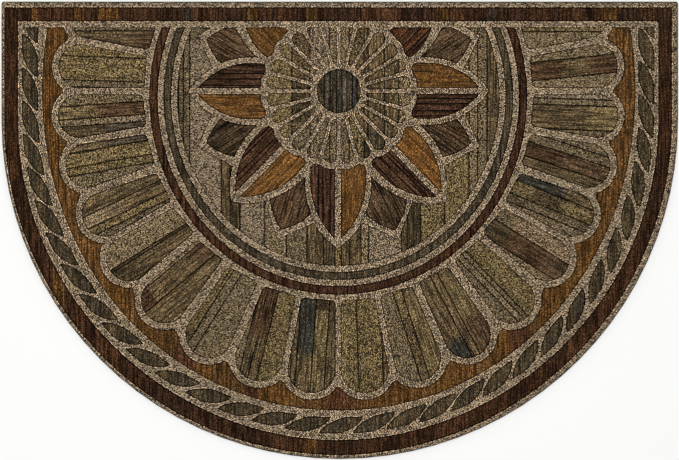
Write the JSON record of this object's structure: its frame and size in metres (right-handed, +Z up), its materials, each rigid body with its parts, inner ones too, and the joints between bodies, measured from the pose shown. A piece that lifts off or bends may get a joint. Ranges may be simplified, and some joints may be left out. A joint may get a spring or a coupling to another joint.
{
  "type": "doormat",
  "caption": "Half-round entrance mat with a moulded fibre face of low pads, a rope-twist border, petals and a star rosette, on a rubber backing",
  "frame": {"origin": "middle of the mat's bounding box, on its underside", "axes": "+X along the straight edge, +Y towards the straight edge (top of the picture), +Z up out of the face"},
  "size_m": [0.864, 0.584, 0.008],
  "materials": {
    "recycled_rubber": "matte",
    "printed_fibre": "short flocked pile, printed"
  },
  "bodies": {
    "root": {"rubber_backing": "recycled_rubber", "fibre_face": "printed_fibre"}
  },
  "joints": []
}
